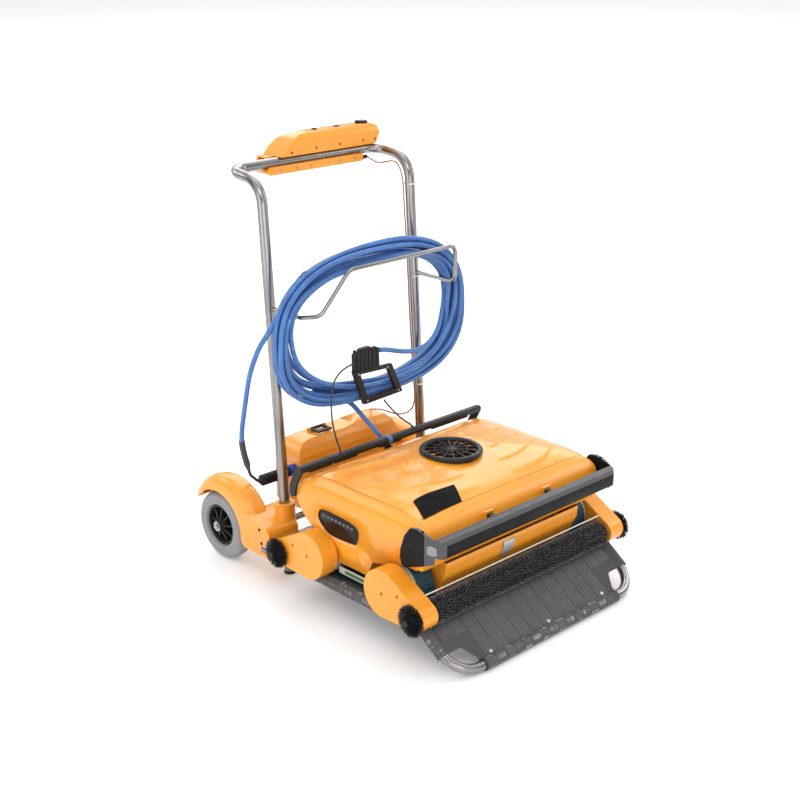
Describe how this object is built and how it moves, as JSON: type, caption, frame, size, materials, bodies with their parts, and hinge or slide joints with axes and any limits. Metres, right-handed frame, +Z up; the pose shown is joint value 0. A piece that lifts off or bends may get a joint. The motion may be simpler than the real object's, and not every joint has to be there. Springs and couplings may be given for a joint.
{
  "type": "pool cleaner",
  "caption": "Tracked commercial pool cleaning robot with bristle rollers, parked on a two-wheeled stainless caddy with its floating cable coiled on the hook.",
  "frame": {"origin": "on the ground below the middle of the object's box", "axes": "+Z up, -Y towards the ramp at the front, +X to the right seen from the front of the ramp"},
  "size_m": [0.86, 1.1045, 1.2264],
  "materials": {
    "stainless": "polished tube",
    "orange_shell": "gloss moulded",
    "black_plastic": "moulded",
    "charcoal_plastic": "satin moulded",
    "wheel_rubber": "grey rubber",
    "mat_rubber": "raised tread bars",
    "track_rubber": "ribbed belt",
    "bristle": "nylon bristle",
    "cable_blue": "floating cable sheath",
    "cable_black": "cable sheath",
    "cable_brown": "thin cable sheath",
    "smoked_window": "smoked clear",
    "motor_metal": "coated",
    "copper_core": "varnished windings",
    "filter_cloth": "pleated",
    "white_plastic": "moulded",
    "grey_plastic": "moulded",
    "button_dark": "moulded"
  },
  "bodies": {
    "caddy": {"handle_frame": "stainless", "cable_hook": "stainless", "foot_caps": "black_plastic", "platform_frame": "stainless", "platform_mat": "mat_rubber", "left_base": "orange_shell", "right_base": "orange_shell", "wheel_axle": "stainless", "cross_tube": "stainless", "caddy_fasteners": "stainless", "supply_tray": "orange_shell", "supply_cover": "orange_shell", "power_socket": "cable_blue", "supply_transformer": "copper_core", "control_box_top": "orange_shell", "control_box_bottom": "orange_shell", "control_gland": "black_plastic", "control_cable": "cable_brown", "cable_ties": "white_plastic", "float_cable_coil": "cable_blue", "float_cable_runs": "cable_blue", "supply_lead": "cable_black", "tether_cords": "cable_black", "cable_clamp": "black_plastic"},
    "left_wheel": {"left_tyre": "wheel_rubber", "left_rim": "black_plastic"},
    "right_wheel": {"right_tyre": "wheel_rubber", "right_rim": "black_plastic"},
    "latch": {"supply_latch": "black_plastic"},
    "knob": {"control_knob": "black_plastic"},
    "power_key": {"power_button": "button_dark"},
    "mode_key": {"mode_button": "black_plastic"},
    "robot": {"hull_cover": "orange_shell", "hull_base": "orange_shell", "bottom_plate": "black_plastic", "outlet_grille": "black_plastic", "pump_motor": "motor_metal", "drive_motors": "motor_metal", "filter_cartridge": "filter_cloth", "front_handle": "charcoal_plastic", "front_struts": "black_plastic", "rear_handle": "black_plastic", "side_windows": "smoked_window", "brush_guards": "white_plastic", "robot_gland": "black_plastic", "front_left_arm": "orange_shell", "front_right_arm": "orange_shell", "rear_left_arm": "orange_shell", "rear_right_arm": "orange_shell", "left_track": "track_rubber", "right_track": "track_rubber"},
    "pump_impeller": {"impeller": "black_plastic"},
    "pulley_front_left": {"front_left_pulley": "grey_plastic"},
    "pulley_front_right": {"front_right_pulley": "grey_plastic"},
    "pulley_rear_left": {"rear_left_pulley": "grey_plastic"},
    "pulley_rear_right": {"rear_right_pulley": "grey_plastic"},
    "front_brush": {"front_brush_shaft": "grey_plastic", "front_bristles": "bristle"},
    "rear_brush": {"rear_brush_shaft": "grey_plastic", "rear_bristles": "bristle"}
  },
  "joints": [
    {"name": "left_wheel_spin", "type": "hinge", "parent": "caddy", "child": "left_wheel", "pos_m": [-0.333, 0.44, 0.104], "axis": [1, 0, 0], "continuous": true},
    {"name": "right_wheel_spin", "type": "hinge", "parent": "caddy", "child": "right_wheel", "pos_m": [0.333, 0.44, 0.104], "axis": [1, 0, 0], "continuous": true},
    {"name": "latch_lift", "type": "hinge", "parent": "caddy", "child": "latch", "pos_m": [-0.008, 0.405, 0.331], "axis": [-1, 0, 0], "range_deg": [0, 95]},
    {"name": "knob_turn", "type": "hinge", "parent": "caddy", "child": "knob", "pos_m": [0.221, 0.447, 1.22], "axis": [0, 0, -1], "range_deg": [0, 270]},
    {"name": "power_press", "type": "slide", "parent": "caddy", "child": "power_key", "axis": [0, 0, -1], "range_m": [0, 0.0025], "stiffness_N_per_m": 400},
    {"name": "mode_press", "type": "slide", "parent": "caddy", "child": "mode_key", "axis": [0, 0, -1], "range_m": [0, 0.0025], "stiffness_N_per_m": 400},
    {"name": "robot_slide", "type": "slide", "parent": "caddy", "child": "robot", "axis": [0, -1, 0], "range_m": [0, 0.22]},
    {"name": "impeller_spin", "type": "hinge", "parent": "robot", "child": "pump_impeller", "pos_m": [0, -0.1535, 0.367], "axis": [0, 0, 1], "continuous": true},
    {"name": "rear_right_pulley_spin", "type": "hinge", "parent": "robot", "child": "pulley_rear_right", "pos_m": [0.306, -0.0065, 0.176], "axis": [1, 0, 0], "continuous": true},
    {"name": "front_right_pulley_spin", "type": "hinge", "parent": "robot", "child": "pulley_front_right", "pos_m": [0.306, -0.3005, 0.176], "axis": [1, 0, 0], "continuous": true},
    {"name": "rear_left_pulley_spin", "type": "hinge", "parent": "robot", "child": "pulley_rear_left", "pos_m": [-0.306, -0.0065, 0.176], "axis": [1, 0, 0], "continuous": true},
    {"name": "front_left_pulley_spin", "type": "hinge", "parent": "robot", "child": "pulley_front_left", "pos_m": [-0.306, -0.3005, 0.176], "axis": [1, 0, 0], "continuous": true},
    {"name": "front_brush_spin", "type": "hinge", "parent": "robot", "child": "front_brush", "pos_m": [0, -0.419, 0.148], "axis": [1, 0, 0], "continuous": true},
    {"name": "rear_brush_spin", "type": "hinge", "parent": "robot", "child": "rear_brush", "pos_m": [0, 0.112, 0.148], "axis": [1, 0, 0], "continuous": true}
  ],
  "couplings": [
    {"joint": "front_right_pulley_spin", "follows": "rear_right_pulley_spin", "ratio": 1},
    {"joint": "front_left_pulley_spin", "follows": "rear_left_pulley_spin", "ratio": 1},
    {"joint": "rear_brush_spin", "follows": "front_brush_spin", "ratio": 1}
  ]
}
